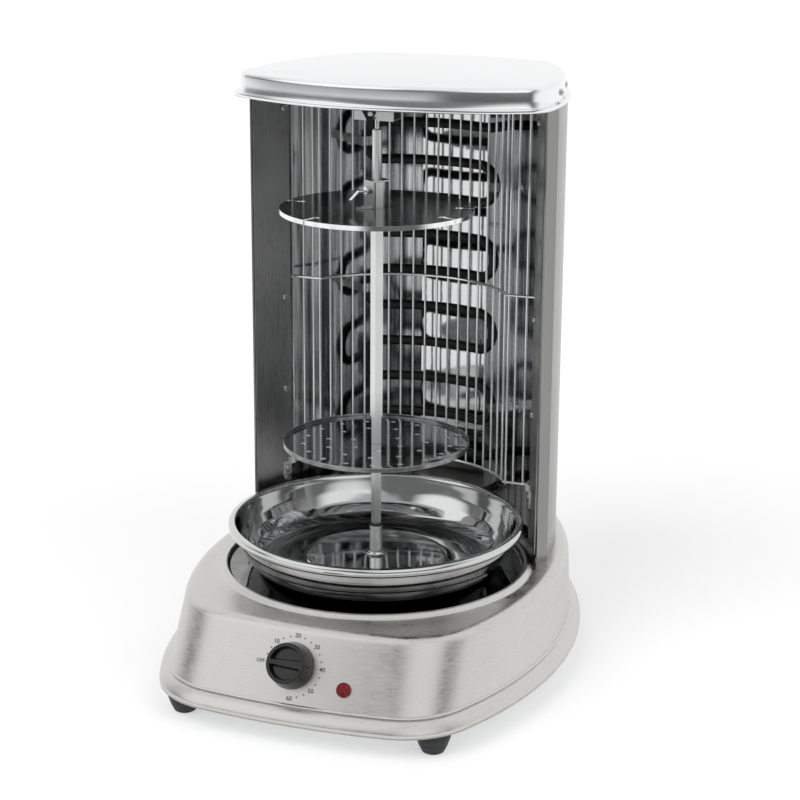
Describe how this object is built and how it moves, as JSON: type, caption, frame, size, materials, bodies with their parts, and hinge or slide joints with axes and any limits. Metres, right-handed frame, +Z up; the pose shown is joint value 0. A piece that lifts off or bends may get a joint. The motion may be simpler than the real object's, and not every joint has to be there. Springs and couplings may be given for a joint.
{
  "type": "doner kebab grill",
  "caption": "Countertop vertical grill: a motor-driven spindle with clamping discs turns before a guarded heating element, over a lift-out drip pan.",
  "frame": {"origin": "on the table, in the middle of the base's footprint", "axes": "+Z up, -Y towards the cook (the side with the timer knob and the open front), +X to the right as seen from the front"},
  "size_m": [0.336, 0.444, 0.5034],
  "materials": {
    "satin_steel": "satin stainless sheet, fine grain",
    "polished_steel": "mirror-polished stainless sheet",
    "liner_steel": "plain stainless sheet",
    "wall_steel": "satin stainless sheet",
    "lid_steel": "polished stainless sheet",
    "spindle_steel": "drawn stainless bar, bright",
    "chrome_wire": "bright chromed wire",
    "zinc_steel": "zinc-plated steel",
    "screw_steel": "bright stainless screws",
    "element_steel": "heat-blackened sheath",
    "black_knob": "smooth black moulding",
    "red_lens": "clear deep red moulding",
    "black_rubber": "matt moulded rubber",
    "black_steel": "blackened steel",
    "black_plastic": "moulded",
    "white_plastic": "moulded",
    "ceramic": "glazed ceramic beads",
    "bronze": "turned bronze",
    "copper_lead": "heat-proof insulated leads"
  },
  "bodies": {
    "housing": {"base_shell": "satin_steel", "bottom_plate": "zinc_steel", "plate_screws": "screw_steel", "feet": "black_rubber", "foot_screws": "screw_steel", "timer_body": "white_plastic", "timer_nut": "zinc_steel", "lamp_lens": "red_lens", "lamp_holder": "black_plastic", "lamp_clip": "zinc_steel", "hub_bush": "bronze", "gear_case": "zinc_steel", "gear_motor": "zinc_steel", "motor_bracket": "zinc_steel", "motor_screws": "screw_steel", "cord_gland": "black_plastic", "terminal_block": "white_plastic", "wiring": "copper_lead", "housing_wall": "wall_steel", "wall_screws": "screw_steel", "side_liner_right": "liner_steel", "side_liner_left": "liner_steel", "liner_screws": "screw_steel", "reflector": "polished_steel", "wire_guard": "chrome_wire", "guard_clips": "zinc_steel", "guard_screws": "screw_steel", "heating_element": "element_steel", "heater_terminals": "ceramic", "heater_clips": "screw_steel", "heater_clip_screws": "screw_steel", "lid": "lid_steel", "lid_screws": "screw_steel", "top_plate": "satin_steel", "top_bracket": "zinc_steel", "bracket_rivets": "screw_steel", "keeper_screw": "screw_steel"},
    "drive": {"drive_hub": "spindle_steel", "output_shaft": "zinc_steel"},
    "spit": {"spindle": "spindle_steel", "spindle_seal": "black_rubber", "lower_disc": "polished_steel", "disc_pin": "spindle_steel"},
    "upper_plate": {"upper_disc": "polished_steel", "clamp_bracket": "spindle_steel", "clamp_rivets": "screw_steel"},
    "clamp_screw": {"wing_screw": "screw_steel"},
    "timer_dial": {"timer_knob": "black_knob", "timer_shaft": "zinc_steel"},
    "pan": {"drip_pan": "polished_steel"},
    "catch": {"keeper": "black_steel"}
  },
  "joints": [
    {"name": "hub_spin", "type": "hinge", "parent": "housing", "child": "drive", "pos_m": [0, -0.026, 0.1], "axis": [0, 0, 1], "continuous": true},
    {"name": "spindle_lift", "type": "slide", "parent": "drive", "child": "spit", "axis": [0, 0, 1], "range_m": [0, 0.007]},
    {"name": "upper_disc_slide", "type": "slide", "parent": "spit", "child": "upper_plate", "axis": [0, 0, 1], "range_m": [-0.185, 0.02]},
    {"name": "wing_screw_turn", "type": "hinge", "parent": "upper_plate", "child": "clamp_screw", "pos_m": [-0.00688, -0.03583, 0.4122], "axis": [-0.5736, -0.8191, 0], "range_deg": [0, 720]},
    {"name": "timer_turn", "type": "hinge", "parent": "housing", "child": "timer_dial", "pos_m": [-0.0054, -0.19806, 0.0615], "axis": [-0.008, -0.8767, 0.4809], "range_deg": [-270, 0]},
    {"name": "pan_lift", "type": "slide", "parent": "housing", "child": "pan", "axis": [0, 0, 1], "range_m": [0, 0.012]},
    {"name": "keeper_swing", "type": "hinge", "parent": "housing", "child": "catch", "pos_m": [-0.0017, -0.035, 0.4754], "axis": [0, -1, 0], "range_deg": [0, 85]}
  ]
}
